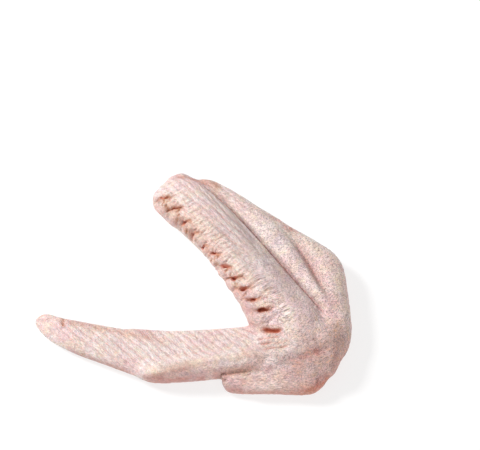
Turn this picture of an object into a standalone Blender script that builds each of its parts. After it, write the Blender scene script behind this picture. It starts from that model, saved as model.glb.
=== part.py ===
"""A raw duck wing of two joints, the forearm and the hand, cut off at the elbow. It lies on its inner side,
folded at the wrist, with the row of feather sockets on top of the forearm's trailing edge.

Metres, +Z up. The surface that the wing lies on is z = 0, and the finished solid is centred over the origin.
"""

import math

import bmesh
import bpy
import numpy as np
from mathutils import Vector

MM = 0.001

# Bone lengths of a table duck of about 3 kg, and the plan directions in which the three segments lie.
ULNA_LENGTH = 84 * MM
METACARPUS_LENGTH = 62 * MM
DIGIT_LENGTH = 46 * MM
FOREARM_HEADING = math.radians(130)
METACARPUS_HEADING = math.radians(185.5)
DIGIT_HEADING = math.radians(161)
WRIST = Vector((48 * MM, -22 * MM))

# Feather sockets along the forearm.
SOCKETS = 12
SOCKET_PITCH = 6.1 * MM
FIRST_SOCKET_ALONG = 81.2 * MM
SOCKET_ACROSS = -9.2 * MM
SOCKET_LEAN = math.radians(40)
SOCKET_LENGTH = 4.4 * MM
SOCKET_WIDTH = 1.2 * MM
SOCKET_DEPTH = 2.0 * MM
KNOB_HEIGHT = 1.1 * MM
SEED = 7

# The grooves of the upper side, as points (along, across) in millimetres of the bone that they lie beside.
ULNA_GROOVE = [(4, 9.4), (16, 9.2), (35, 9.2), (46, 9.2), (59, 8.8), (66, 8.4), (76, 6.8)]
ULNA_SLOPE = [(6, 3.8), (20, 4.8), (35, 5.4), (50, 6.0), (62, 7.4)]
WEB_GROOVE = [(8, 14.4), (16, 15.2), (22, 16.8), (29, 18.4), (37, 20.4), (46, 21)]
HEEL_HOLLOW = [(9, -14), (3, -10.5), (-0.5, -4), (-1.5, 3)]
HAND_RIDGE = [(10, 4), (20, 5.2), (30, 5.0), (40, 5.4), (49, 6.2), (56, 7.0), (65, 7.2), (70, 6.4)]
THUMB_CREASE = [(19, 8.6), (28, 9.4), (34, 9.8), (41, 10.6)]
ELBOW_CREASE = [(76, 9.5), (81, 6.5), (85, 2.5), (86.5, -1)]

# The dimple in the elbow's end.
PUCKER_ACROSS = -1.5 * MM
PUCKER_HEIGHT = 8.5 * MM
PUCKER_FOLDS = 7

# Meshing.
RINGS = 40
RING_POINTS = 32
VOXEL = 0.6 * MM
SMOOTHING_PASSES = 12
WRIST_PASSES = 90
KNUCKLE_PASSES = 50
ELBOW_PASSES = 40
TRIANGLES = 10500


class Bone:
    """A straight bone seen in plan: a start, a heading, a length and the side that its leading edge is on."""

    def __init__(self, start, heading, length, leading_turn):
        self.start = start
        self.length = length
        self.along = Vector((math.cos(heading), math.sin(heading)))
        turned = heading + leading_turn
        self.leading = Vector((math.cos(turned), math.sin(turned)))

    def plan(self, along, across):
        """The plan point that far along the bone, and across it towards the leading edge."""
        return self.start + self.along * along + self.leading * across

    def coordinates(self, points):
        """(along, across) of an array of points."""
        offset = points[:, :2] - np.array(self.start)
        return offset @ np.array(self.along), offset @ np.array(self.leading)


FOREARM = Bone(WRIST, FOREARM_HEADING, ULNA_LENGTH, -math.pi / 2)
METACARPUS = Bone(WRIST, METACARPUS_HEADING, METACARPUS_LENGTH, math.pi / 2)
KNUCKLE = METACARPUS.plan(METACARPUS_LENGTH, 0)
DIGIT = Bone(KNUCKLE, DIGIT_HEADING, DIGIT_LENGTH, math.pi / 2)


def smooth_through(values, steps):
    """A Catmull-Rom curve through the rows of values, as steps + 1 evenly spaced rows."""
    rows = np.array(values, float)
    ends = np.vstack([2 * rows[0] - rows[1], rows, 2 * rows[-1] - rows[-2]])
    out = []
    for t in np.linspace(0, len(rows) - 1, steps + 1):
        i = min(int(t), len(rows) - 2)
        f = t - i
        a, b, c, d = ends[i : i + 4]
        out.append(
            0.5 * (2 * b + (c - a) * f + (2 * a - 5 * b + 4 * c - d) * f**2 + (3 * b - a - 3 * c + d) * f**3)
        )
    return np.array(out)


def spindle(bm, bone, stations, start_round=0.25, end_round=0.25, squareness=2.0):
    """A closed muscle-like loft. A station is (along, across, half width, bottom, top) in millimetres.
    The rounds are the shares of the length over which each end closes like an ellipse. A squareness over 2
    gives steeper sides and a flatter top."""
    rows = smooth_through(stations, RINGS)
    plan = np.array([bone.plan(r[0] * MM, r[1] * MM) for r in rows])
    heading = np.gradient(plan, axis=0)
    heading /= np.linalg.norm(heading, axis=1)[:, None]
    rings = []
    for i, (row, centre, ahead) in enumerate(zip(rows, plan, heading)):
        t = i / RINGS
        taper = 1.0
        if t < start_round:
            taper = math.sqrt(max(0.0, 1 - (1 - t / start_round) ** 2))
        if t > 1 - end_round:
            taper = min(taper, math.sqrt(max(0.0, 1 - (1 - (1 - t) / end_round) ** 2)))
        middle = (row[3] + row[4]) / 2 * MM
        if taper == 0:
            rings.append([bm.verts.new((*centre, middle))])
            continue
        tall = (row[4] - row[3]) / 2 * MM * taper
        wide = row[2] * MM * taper
        ring = []
        for k in range(RING_POINTS):
            angle = 2 * math.pi * k / RING_POINTS
            c, s = math.cos(angle), math.sin(angle)
            side = math.copysign(abs(c) ** (2 / squareness), c) * wide
            up = math.copysign(abs(s) ** (2 / squareness), s) * tall
            ring.append(bm.verts.new((centre[0] - ahead[1] * side, centre[1] + ahead[0] * side, middle + up)))
        rings.append(ring)
    for one, two in zip(rings, rings[1:]):
        for k in range(RING_POINTS):
            a, b = one[k % len(one)], one[(k + 1) % len(one)]
            c, d = two[(k + 1) % len(two)], two[k % len(two)]
            around = (a, b, c, d)
            bm.faces.new([v for i, v in enumerate(around) if v not in around[:i]])


def forearm(bm):
    """The muscle lobes over the ulna and the radius, the shelf with the sockets, and the folded web of skin."""
    ulna = [
        (-5, -2.8, 7.3, -0.5, 14.5),
        (8, -1.0, 9.1, -0.9, 18),
        (30, -0.2, 9.3, -0.9, 20.5),
        (54, -0.2, 9.3, -0.9, 21.5),
        (72, -1.0, 9.5, -0.9, 21),
        (81, -2.8, 9.9, -0.6, 19.6),
        (89.2, -4.4, 9.2, 0.8, 16.3),
    ]
    radius = [
        (0, 10.6, 3.0, 2, 14.5),
        (10, 11.4, 3.6, 1, 16.5),
        (22, 12.4, 4.6, 0, 17.5),
        (36, 13.2, 6.2, -0.5, 18.5),
        (50, 12.8, 6.6, -0.7, 18.8),
        (62, 10.6, 6.6, -0.5, 18.2),
        (74, 7.0, 6.4, 0, 17),
        (82.5, 3.6, 5.8, 1, 15.5),
    ]
    web = [
        (-11, 1.4, 5.4, 0, 12),
        (-4, 6.6, 6.4, -0.3, 13.5),
        (4, 12.0, 7, -0.6, 14.5),
        (12, 16.8, 7.4, -0.6, 15.2),
        (21, 21.4, 8.0, -0.6, 15.5),
        (30, 21.2, 6.2, -0.4, 15.5),
        (42, 18.8, 4.6, 0, 15.5),
        (56, 15.8, 3.8, 2, 15.5),
        (67, 11.4, 3.2, 4, 15),
    ]
    shelf = [
        (8, -11.5, 4.0, 5, 12.5),
        (20, -11.2, 4.4, 7, 15),
        (30, -9.4, 3.7, 7.5, 16.2),
        (40, -8.5, 3.2, 8, 17),
        (54, -7.9, 2.5, 8, 17.5),
        (72, -7.0, 2.6, 7, 17.5),
        (88.8, -8.6, 4.2, 3, 16.5),
    ]
    spindle(bm, FOREARM, ulna, 0.2, 0.1, 2.5)
    spindle(bm, FOREARM, radius, 0.2, 0.15, 2.3)
    spindle(bm, FOREARM, web, 0.2, 0.25)
    spindle(bm, FOREARM, shelf, 0.1, 0.06)


def wrist(bm):
    """The rounded heel where the forearm folds into the hand."""
    heel = [
        (-10.4, 1, 5.5, 0, 12),
        (-6.4, 1, 9.0, -0.8, 14.5),
        (-2, 1.8, 11.4, -0.9, 15.5),
        (6, 3, 13.0, -0.9, 15.5),
        (15, 4.6, 11.6, -0.9, 13.5),
        (27, 7, 8, -0.5, 11),
    ]
    spindle(bm, METACARPUS, heel, 0.14, 0.2, 2.3)


def hand(bm):
    """The flat plate of the hand, its thick leading edge, the finger, and the thumb beside them."""
    plate = [
        (-4, 0, 11, -0.6, 14),
        (14, 0.4, 9.8, -0.8, 12.5),
        (36, -1.2, 8.6, -0.8, 10.5),
        (54, -2.4, 8.6, -0.8, 9.3),
        (68, -4.6, 8.6, -0.6, 8.8),
        (80, -7.4, 7.8, -0.4, 8.4),
    ]
    leading = [
        (2, 3, 6, 0, 14.5),
        (18, 5, 5.2, 0, 14),
        (34, 5.2, 4.6, 0, 13.6),
        (50, 5.4, 4.4, 0, 12.8),
        (62, 5.0, 4.0, -0.5, 11.2),
        (72, 2.5, 3.4, 0, 9),
    ]
    finger = [
        (-14, -2.6, 8.8, -0.6, 9.0),
        (2, -0.7, 9.0, -0.8, 9.4),
        (16, 0.1, 7.8, -0.8, 8.8),
        (30, 0.7, 6.6, -0.8, 8),
        (40, 0.4, 5.2, -0.4, 7),
        (50, -0.8, 3.2, 0.5, 5.5),
    ]
    thumb = [
        (-2, 12.8, 6, -0.4, 11),
        (6, 14.3, 5.2, -0.4, 10.5),
        (18, 13.4, 4.4, -0.4, 9.5),
        (30, 12.4, 4.1, 0, 8.5),
        (37.5, 11.8, 3.4, 0.5, 7.5),
    ]
    spindle(bm, METACARPUS, plate, 0.15, 0.15, 2.4)
    spindle(bm, METACARPUS, leading, 0.15, 0.2, 3.0)
    spindle(bm, DIGIT, finger, 0.2, 0.2, 2.3)
    spindle(bm, METACARPUS, thumb, 0.25, 0.14, 2.3)


def fused_skin():
    """All the lobes as one closed skin, remeshed and smoothed, most of all where the wrist is."""
    bm = bmesh.new()
    forearm(bm)
    wrist(bm)
    hand(bm)
    bmesh.ops.recalc_face_normals(bm, faces=bm.faces)
    mesh = bpy.data.meshes.new("duck_wing")
    bm.to_mesh(mesh)
    bm.free()
    wing = bpy.data.objects.new("duck_wing", mesh)
    bpy.context.scene.collection.objects.link(wing)
    remesh = wing.modifiers.new("Fuse", "REMESH")
    remesh.mode = "VOXEL"
    remesh.voxel_size = VOXEL
    apply_modifiers(wing)
    relax(wing, 0.5, SMOOTHING_PASSES)
    points, _ = read_vertices(wing.data)
    along, across = FOREARM.coordinates(points)
    soft = np.exp(-((((along + 2 * MM) / (15 * MM)) ** 2 + ((across + 1 * MM) / (22 * MM)) ** 2) ** 2))
    relax(wing, 0.5, WRIST_PASSES, soft)
    soft = np.exp(-((((along - 84 * MM) / (11 * MM)) ** 2 + ((across - 4 * MM) / (9 * MM)) ** 2) ** 2))
    relax(wing, 0.5, ELBOW_PASSES, soft)
    along, across = DIGIT.coordinates(points)
    soft = np.exp(-(((along / (12 * MM)) ** 2 + ((across + 1 * MM) / (12 * MM)) ** 2) ** 2))
    relax(wing, 0.5, KNUCKLE_PASSES, soft)
    return wing


def relax(wing, factor, passes, weights=None):
    """Smooths the skin, more where the weights are higher."""
    smooth = wing.modifiers.new("Relax", "SMOOTH")
    smooth.factor = factor
    smooth.iterations = passes
    if weights is not None:
        group = wing.vertex_groups.new(name="relax")
        for i in np.flatnonzero(weights > 0.01):
            group.add([int(i)], float(weights[i]), "REPLACE")
        smooth.vertex_group = "relax"
    apply_modifiers(wing)
    wing.vertex_groups.clear()


def apply_modifiers(thing):
    """Turns what the modifiers make into the object's own mesh."""
    graph = bpy.context.evaluated_depsgraph_get()
    made = bpy.data.meshes.new_from_object(thing.evaluated_get(graph))
    thing.modifiers.clear()
    old = thing.data
    thing.data = made
    bpy.data.meshes.remove(old)
    made.name = thing.name


def read_vertices(mesh):
    """Vertex positions and normals as arrays."""
    points = np.empty(len(mesh.vertices) * 3, np.float32)
    normals = np.empty(len(mesh.vertices) * 3, np.float32)
    mesh.vertices.foreach_get("co", points)
    mesh.vertex_normals.foreach_get("vector", normals)
    return points.reshape(-1, 3).astype(float), normals.reshape(-1, 3).astype(float)


def write_vertices(mesh, points):
    mesh.vertices.foreach_set("co", points.astype(np.float32).ravel())
    mesh.update()


def bump(x, width):
    """A smooth hill of height 1."""
    return np.exp(-((x / width) ** 2))


def rise(x, start, end):
    """0 before start, 1 after end, smooth between them."""
    t = np.clip((x - start) / (end - start), 0, 1)
    return t * t * (3 - 2 * t)


def distance_to_line(points, line):
    """Plan distance of each point to the polyline, and how far along it, from 0 to 1, its nearest point is."""
    flat = points[:, :2]
    best = np.full(len(flat), np.inf)
    share = np.zeros(len(flat))
    line = np.array(line, float)
    lengths = np.linalg.norm(np.diff(line, axis=0), axis=1)
    before = np.concatenate([[0], np.cumsum(lengths)])
    for a, b, length, start in zip(line, line[1:], lengths, before):
        t = np.clip((flat - a) @ (b - a) / length**2, 0, 1)
        d = np.linalg.norm(flat - a - t[:, None] * (b - a), axis=1)
        nearer = d < best
        best = np.where(nearer, d, best)
        share = np.where(nearer, (start + t * length) / before[-1], share)
    return best, share


def crease(points, upper, bone, line, depth, width, fade=0.25):
    """How far the upper skin sinks along a line of (along, across) points in millimetres, fading at both ends."""
    plan = smooth_through([bone.plan(a * MM, c * MM) for a, c in line], 24)
    away, share = distance_to_line(points, plan)
    ends = rise(share, 0, fade) * rise(1 - share, 0, fade)
    return -depth * bump(away, width) * ends * upper


def socket_row(points, normals):
    """The slits where the flight feathers were pulled, with the skin bulging in knobs between them."""
    random = np.random.default_rng(SEED)
    along, across = FOREARM.coordinates(points)
    moved = np.zeros(len(points))
    upper = rise(normals[:, 2], -0.3, 0.2)
    outer = rise(normals[:, 2], -0.6, 0.1) * rise(points[:, 2], 3 * MM, 10 * MM)
    for i in range(SOCKETS):
        last = i == SOCKETS - 1
        shift, drift, lean, size = random.uniform(-1, 1, 4)
        u = along - (FIRST_SOCKET_ALONG - i * SOCKET_PITCH - (1.2 if last else 0.4 * shift) * MM)
        v = across - SOCKET_ACROSS + (3.0 if last else 0.5 * drift) * MM
        turn = SOCKET_LEAN + math.radians(6) * lean
        lengthwise = v * math.cos(turn) - u * math.sin(turn)
        sideways = u * math.cos(turn) + v * math.sin(turn)
        plateau = np.exp(-((lengthwise / ((1 + 0.12 * size) * SOCKET_LENGTH / 2)) ** 4))
        moved -= (1 + 0.15 * size) * SOCKET_DEPTH * plateau * bump(sideways, SOCKET_WIDTH / 2) * upper
        beside = sideways + 0.5 * SOCKET_PITCH * math.cos(SOCKET_LEAN)
        knob = bump(beside, 1.8 * MM) * bump(lengthwise + 1.6 * MM, (3.4 + 0.6 * size) * MM)
        moved += (0.9 + 0.25 * drift) * KNOB_HEIGHT * knob * outer
    return moved


def puckered_end(points, normals):
    """The elbow's end, where the skin is drawn together over the cut: a dimple with folds running into it."""
    _, across = FOREARM.coordinates(points)
    facing = rise(normals[:, :2] @ np.array(FOREARM.along), 0.35, 0.8)
    right = across - PUCKER_ACROSS
    up = points[:, 2] - PUCKER_HEIGHT
    away = np.hypot(right, up)
    folds = 0.5 + 0.5 * np.cos(PUCKER_FOLDS * np.arctan2(up, right) + 0.6 * np.sin(away / (1.5 * MM)))
    dimple = -1.7 * MM * bump(away, 2.2 * MM)
    return facing * (dimple - 0.7 * MM * folds * bump(away - 4 * MM, 3 * MM))


def sculpt(wing):
    """Presses the grooves and the sockets into the fused skin, then flattens what rests on the table."""
    points, normals = read_vertices(wing.data)
    upper = rise(normals[:, 2], -0.1, 0.4)
    sunk = crease(points, upper, FOREARM, ULNA_GROOVE, 2.2 * MM, 1.0 * MM, 0.12)
    sunk += crease(points, upper, FOREARM, ULNA_SLOPE, 1.1 * MM, 3.0 * MM)
    sunk += crease(points, upper, FOREARM, WEB_GROOVE, 1.2 * MM, 2.0 * MM)
    sunk += crease(points, upper, FOREARM, HEEL_HOLLOW, 1.0 * MM, 2.6 * MM)
    sunk += crease(points, upper, METACARPUS, HAND_RIDGE, -0.8 * MM, 1.1 * MM)
    sunk += crease(points, upper, METACARPUS, THUMB_CREASE, 1.6 * MM, 1.2 * MM)
    sunk += crease(points, upper, FOREARM, ELBOW_CREASE, 0.8 * MM, 0.9 * MM)
    moved = socket_row(points, normals) + puckered_end(points, normals)
    points += normals * moved[:, None]
    points[:, 2] += sunk
    write_vertices(wing.data, points)
    relax(wing, 0.5, 2)
    points, _ = read_vertices(wing.data)
    points[:, 2] = np.maximum(points[:, 2], 0)
    write_vertices(wing.data, points)


def thin_out(wing):
    """Fewer triangles where the skin is plain, so that the creases keep theirs."""
    wing.data.calc_loop_triangles()
    fewer = wing.modifiers.new("Fewer", "DECIMATE")
    fewer.ratio = TRIANGLES / len(wing.data.loop_triangles)
    apply_modifiers(wing)


def centre(wing):
    """Moves the wing so that the middle of its footprint is the origin."""
    points, _ = read_vertices(wing.data)
    low, high = points.min(0), points.max(0)
    points -= [(low[0] + high[0]) / 2, (low[1] + high[1]) / 2, low[2]]
    write_vertices(wing.data, points)
    print("size in mm", np.round((high - low) / MM, 1), "centre was", np.round((low + high) / 2 / MM, 2))


def skin_material():
    """Pale pink raw skin, moist but not glossy."""
    skin = bpy.data.materials.new("raw_skin")
    skin.use_nodes = True
    shader = skin.node_tree.nodes["Principled BSDF"]
    shader.inputs["Base Color"].default_value = (0.80, 0.62, 0.56, 1)
    shader.inputs["Roughness"].default_value = 0.42
    shader.inputs["Metallic"].default_value = 0.0
    return skin


def main():
    for thing in list(bpy.data.objects):
        bpy.data.objects.remove(thing)
    wing = fused_skin()
    sculpt(wing)
    thin_out(wing)
    centre(wing)
    wing.data.materials.clear()
    wing.data.materials.append(skin_material())
    wing.data.shade_smooth()


if __name__ == "__main__":
    main()
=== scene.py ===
# %% [markdown]
# # A raw duck wing
#
# This lesson dresses a plain solid of a plucked duck wing: two joints, the forearm and the hand, folded at
# the wrist. A real one is bone, muscle and a loose moist skin. The solid already has the muscle lobes, the
# folded web, the thumb and the slits where the flight feathers were. What is left is the skin: its creases,
# wrinkles and goosebumps, which are modelled, and its colour, from cream and pink to fat, lilac and red.
#
# The solid comes in through a small kit that keeps it in place. Its box is noted first, because the skin
# may not grow past it.

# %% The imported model
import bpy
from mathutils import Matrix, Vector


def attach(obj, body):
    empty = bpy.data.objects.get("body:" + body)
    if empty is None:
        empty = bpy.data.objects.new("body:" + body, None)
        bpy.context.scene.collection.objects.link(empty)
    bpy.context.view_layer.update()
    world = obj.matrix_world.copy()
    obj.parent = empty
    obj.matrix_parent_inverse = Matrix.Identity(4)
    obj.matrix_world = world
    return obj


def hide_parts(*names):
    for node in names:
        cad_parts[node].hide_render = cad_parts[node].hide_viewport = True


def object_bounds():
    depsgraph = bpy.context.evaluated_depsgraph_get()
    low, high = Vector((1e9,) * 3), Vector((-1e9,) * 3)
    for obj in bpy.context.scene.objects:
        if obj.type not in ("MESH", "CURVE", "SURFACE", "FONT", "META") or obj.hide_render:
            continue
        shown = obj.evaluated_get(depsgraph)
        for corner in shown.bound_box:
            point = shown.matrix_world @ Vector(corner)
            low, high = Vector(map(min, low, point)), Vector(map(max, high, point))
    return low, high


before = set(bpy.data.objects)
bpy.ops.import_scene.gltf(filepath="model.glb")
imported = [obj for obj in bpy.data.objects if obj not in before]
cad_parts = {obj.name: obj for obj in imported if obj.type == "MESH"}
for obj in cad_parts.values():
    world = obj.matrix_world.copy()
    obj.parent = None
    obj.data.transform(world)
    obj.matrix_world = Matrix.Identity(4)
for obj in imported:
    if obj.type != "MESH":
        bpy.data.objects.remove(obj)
solid_box = [list(corner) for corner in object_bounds()]

import math

import bmesh
import bpy
import numpy as np
from mathutils import Vector, noise

MM = 0.001
link = bpy.context.scene.collection.objects.link
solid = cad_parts["duck_wing"]
box_mm = [[round(v / MM, 1) for v in corner] for corner in solid_box]
print("solid:", len(solid.data.polygons), "faces, box in mm", box_mm)

# %% [markdown]
# ## Where it is seen from
#
# The wing is seen from high up, 65 degrees above the surface, with a long lens, so that it hardly tapers
# with distance. The camera is aimed beside the wing and not at it, which puts the wing in the lower left of
# the picture.

# %% Camera
AIM = Vector((18.18, 27.99, 0)) * MM
CAMERA_ELEVATION = math.radians(65)
CAMERA_DISTANCE = 640 * MM

camera = bpy.data.cameras.new("camera")
camera.lens = 120
camera.sensor_width = 36
camera.clip_start = 0.01
viewpoint = bpy.data.objects.new("camera", camera)
towards_camera = Vector((0, -math.cos(CAMERA_ELEVATION), math.sin(CAMERA_ELEVATION)))
viewpoint.location = AIM + CAMERA_DISTANCE * towards_camera
viewpoint.rotation_euler = towards_camera.to_track_quat("Z", "Y").to_euler()
link(viewpoint)
bpy.context.scene.camera = viewpoint
print("camera at", [round(v, 3) for v in viewpoint.location])

# %% [markdown]
# ## Bones to measure from
#
# Creases on a wing run along or across a bone, so "30 mm up the forearm and 9 mm towards its leading edge"
# is easier to say than x and y. A bone is a start, a heading and a turn towards its leading edge. It gives
# the plan point at a place along and across it, or these two coordinates of many points at once. A fourth
# one at the wrist, with along as x and across as y, is for the wrinkles there.

# %% Bones
WRIST = Vector((47.38, -25.01)) * MM
HAND_LENGTH = 62 * MM
FOREARM_HEADING = math.radians(130)
HAND_HEADING = math.radians(185.5)
DIGIT_HEADING = math.radians(161)
TO_THE_LEFT = math.pi / 2


class Bone:
    def __init__(self, start, heading, leading_turn):
        self.start = start
        self.along = Vector((math.cos(heading), math.sin(heading)))
        self.leading = Vector((math.cos(heading + leading_turn), math.sin(heading + leading_turn)))

    def plan(self, along, across):
        return self.start + self.along * along + self.leading * across

    def coordinates(self, points):
        offset = points[:, :2] - np.array(self.start)
        return offset @ np.array(self.along) / MM, offset @ np.array(self.leading) / MM


FOREARM = Bone(WRIST, FOREARM_HEADING, -TO_THE_LEFT)
HAND = Bone(WRIST, HAND_HEADING, TO_THE_LEFT)
DIGIT = Bone(HAND.plan(HAND_LENGTH, 0), DIGIT_HEADING, TO_THE_LEFT)
FOLD = Bone(WRIST, 0, TO_THE_LEFT)
print("finger starts at", [round(v / MM, 1) for v in DIGIT.start])

# %% [markdown]
# ## Strokes
#
# Every crease and ridge is a stroke: a smooth curve through a few points, in millimetres along and across a
# bone. Its strength is 1 on the curve, falls off with the plan distance from it and fades at both ends. The
# same function picks where the mesh has to be finer and where a colour goes.

# %% Strokes
STROKE_REACH = 3


def hill(x, width):
    """1 at x = 0, falling smoothly to nothing a couple of widths away."""
    return np.exp(-((x / width) ** 2))


def ramp(x, start, end):
    """0 before start and 1 after end, smooth between them."""
    t = np.clip((x - start) / (end - start), 0, 1)
    return t * t * (3 - 2 * t)


def drop(x, start, end):
    """1 before start and 0 after end, smooth between them."""
    return 1 - ramp(x, start, end)


def band(x, a, b, c, d):
    """0 before a, 1 from b to c and 0 after d, smooth between them."""
    return ramp(x, a, b) * drop(x, c, d)


def curve_through(knots, steps):
    """A Catmull-Rom curve through the knots, as steps + 1 points."""
    rows = np.array(knots, float)
    ends = np.vstack([2 * rows[0] - rows[1], rows, 2 * rows[-1] - rows[-2]])
    out = []
    for t in np.linspace(0, len(rows) - 1, steps + 1):
        i = min(int(t), len(rows) - 2)
        f = t - i
        a, b, c, d = ends[i : i + 4]
        cubic = (2 * a - 5 * b + 4 * c - d) * f**2 + (3 * b - a - 3 * c + d) * f**3
        out.append(0.5 * (2 * b + (c - a) * f + cubic))
    return np.array(out)


def stroke(points, bone, knots, width, fade=0.25, steps=24):
    """How strongly each point feels the stroke, from 0 to 1."""
    line = curve_through([bone.plan(a * MM, c * MM) for a, c in knots], steps)
    reach = STROKE_REACH * width * MM
    low, high = line.min(0) - reach, line.max(0) + reach
    near = np.flatnonzero(((points[:, :2] > low) & (points[:, :2] < high)).all(1))
    flat = points[near, :2]
    nearest = np.full(len(near), np.inf)
    share = np.zeros(len(near))
    for i in range(steps):
        a, b = line[i], line[i + 1]
        t = np.clip((flat - a) @ (b - a) / max(((b - a) ** 2).sum(), 1e-12), 0, 1)
        d = np.linalg.norm(flat - a - t[:, None] * (b - a), axis=1)
        closer = d < nearest
        nearest[closer] = d[closer]
        share[closer] = (i + t[closer]) / steps
    felt = np.zeros(len(points))
    felt[near] = hill(nearest, width * MM) * band(share, 0, fade, 1 - fade, 1)
    return felt


print("a ramp halfway:", ramp(0.5, 0, 1))

# %% [markdown]
# ## Creases with a name
#
# Some creases are needed more than once: to refine the mesh, to press the skin in and to colour it. The
# muscle groove parts the forearm's two muscles, the web groove lies in the folded web, and the elbow crease
# goes round the elbow's end. The hand's edge is the ridge over its leading face. The thumb crease parts
# thumb and hand, and the wrist's valley carries it on.

# %% Creases with a name
MUSCLE_GROOVE = [(4, 8.6), (16, 8.7), (35, 8.7), (46, 8.7), (59, 8.5), (66, 8.1), (77, 6.4)]
WEB_GROOVE = [(6, 13.6), (14, 14.6), (22, 16.4), (30, 18.4), (38, 20.2)]
ELBOW_CREASE = [(72, 9), (77, 7.4), (80, 5.6), (84, 2), (86, -1)]
HAND_EDGE = [(8, 4.4), (20, 5.6), (30, 5.6), (40, 6), (49, 6.8), (56, 7.4), (65, 7.4), (70, 6.4)]
THUMB_CREASE = [(18, 8.2), (23, 8.9), (30, 9.4), (38, 10.2), (42, 10.8)]
WRIST_VALLEY = [(17, 8.3), (11, 8.3), (5, 7.6), (-2, 6.1), (-7, 4.4)]
print("the muscle groove has", len(MUSCLE_GROOVE), "points")

# %% [markdown]
# ## Tools for the skin's mesh
#
# numpy moves a hundred thousand points at once, far faster than a loop over vertices. So the points are
# read into an array, moved there and written back. Modifiers are applied at once, because every step needs
# the result of the one before. A calmed copy tells how the surface would face without its small forms.

# %% Tools for the skin's mesh
def new_thing(name, bm):
    """A new object in the scene, made from a bmesh."""
    mesh = bpy.data.meshes.new(name)
    bm.to_mesh(mesh)
    bm.free()
    thing = bpy.data.objects.new(name, mesh)
    link(thing)
    return thing


def modify(thing, kind, **settings):
    """Adds a modifier and applies it at once."""
    modifier = thing.modifiers.new(kind, kind)
    for name, value in settings.items():
        setattr(modifier, name, value)
    graph = bpy.context.evaluated_depsgraph_get()
    made = bpy.data.meshes.new_from_object(thing.evaluated_get(graph))
    thing.modifiers.clear()
    old = thing.data
    thing.data = made
    bpy.data.meshes.remove(old)


def relax(thing, factor, passes):
    modify(thing, "SMOOTH", factor=factor, iterations=passes)


def read(thing):
    """Positions and normals of the thing's vertices."""
    points = np.empty(len(thing.data.vertices) * 3, np.float32)
    normals = np.empty(len(thing.data.vertices) * 3, np.float32)
    thing.data.vertices.foreach_get("co", points)
    thing.data.vertex_normals.foreach_get("vector", normals)
    return points.reshape(-1, 3).astype(float), normals.reshape(-1, 3).astype(float)


def write(thing, points):
    thing.data.vertices.foreach_set("co", points.astype(np.float32).ravel())
    thing.data.update()


def calmed(thing, passes):
    """Positions and normals as they would be with all the small forms relaxed away."""
    double = bpy.data.objects.new("calmed", thing.data.copy())
    link(double)
    relax(double, 0.5, passes)
    points, normals = read(double)
    mesh = double.data
    bpy.data.objects.remove(double)
    bpy.data.meshes.remove(mesh)
    return points, normals


print("points in the solid's mesh:", len(read(solid)[0]))

# %% [markdown]
# ## Even squares
#
# The solid has about ten thousand triangles, too few for a fold 1 mm wide. A copy is merged at its corners,
# because its triangles come in loose, remeshed into even half-millimetre squares and relaxed, which takes
# the facets out. The underside rests on the surface and has no fine forms, so Decimate thins it, and the
# faces it saves go to the folds.

# %% Even squares
SQUARE = 0.5 * MM
UNDERSIDE_SPARED = 0.8
UNDERSIDE_FACES = -0.7
UNDERSIDE_TOP = 4 * MM

bm = bmesh.new()
bm.from_mesh(solid.data)
bmesh.ops.remove_doubles(bm, verts=bm.verts, dist=1e-6)
skin = new_thing("wing_skin", bm)
modify(skin, "REMESH", mode="VOXEL", voxel_size=SQUARE)
relax(skin, 0.5, 6)
print("even squares:", len(skin.data.polygons))

points, normals = read(skin)
underside = np.flatnonzero((normals[:, 2] < UNDERSIDE_FACES) & (points[:, 2] < UNDERSIDE_TOP))
skin.vertex_groups.new(name="underside").add(underside.tolist(), 1.0, "REPLACE")
kept = 1 - UNDERSIDE_SPARED * len(underside) / len(points)
modify(skin, "DECIMATE", vertex_group="underside", ratio=kept)
skin.vertex_groups.clear()
print("with a thinner underside:", len(skin.data.polygons))

# %% [markdown]
# ## Finer strips
#
# The finest folds are at the feather sockets and along the sharp creases. Only there are the squares split
# once more, with subdivide_edges on the edges whose two ends both lie in such a strip.

# %% Finer strips
SOCKET_ROW_ALONG = (6, 87)
SOCKET_ROW_ACROSS = (-14.5, -2)
SOCKET_ROW_ABOVE = 7
STRIP_EDGE = 0.35
SHARP_CREASES = (
    (FOREARM, MUSCLE_GROOVE, 1.6),
    (HAND, HAND_EDGE, 1.2),
    (HAND, THUMB_CREASE, 1.5),
)

points, normals = read(skin)
along, across = FOREARM.coordinates(points)
upwards = normals[:, 2] > 0
strip = (along > SOCKET_ROW_ALONG[0]) & (along < SOCKET_ROW_ALONG[1])
strip &= (across > SOCKET_ROW_ACROSS[0]) & (across < SOCKET_ROW_ACROSS[1])
strip &= (points[:, 2] / MM > SOCKET_ROW_ABOVE) & upwards
for bone, knots, width in SHARP_CREASES:
    strip |= (stroke(points, bone, knots, width, 0.05) > STRIP_EDGE) & upwards
print("to split:", int(strip.sum()), "of", len(points), "points")
strip = set(np.flatnonzero(strip).tolist())
bm = bmesh.new()
bm.from_mesh(skin.data)
fine = [e for e in bm.edges if e.verts[0].index in strip and e.verts[1].index in strip]
bmesh.ops.subdivide_edges(bm, edges=fine, cuts=1, use_grid_fill=True)
bm.to_mesh(skin.data)
bm.free()
relax(skin, 0.5, 2)
skin.data.calc_loop_triangles()
print("skin:", len(skin.data.vertices), "points,", len(skin.data.loop_triangles), "triangles")

# %% [markdown]
# ## The thumb's tip and its crevice
#
# The thumb is a short lobe against the hand. Its tip is moved a little towards the hand and upwards. The
# solid has a deep narrow crevice between the two, but raw skin closes it nearly up to the top, so the
# points in it are lifted straight up to a floor. Moved along their normals, its two walls would run through
# each other.

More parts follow.
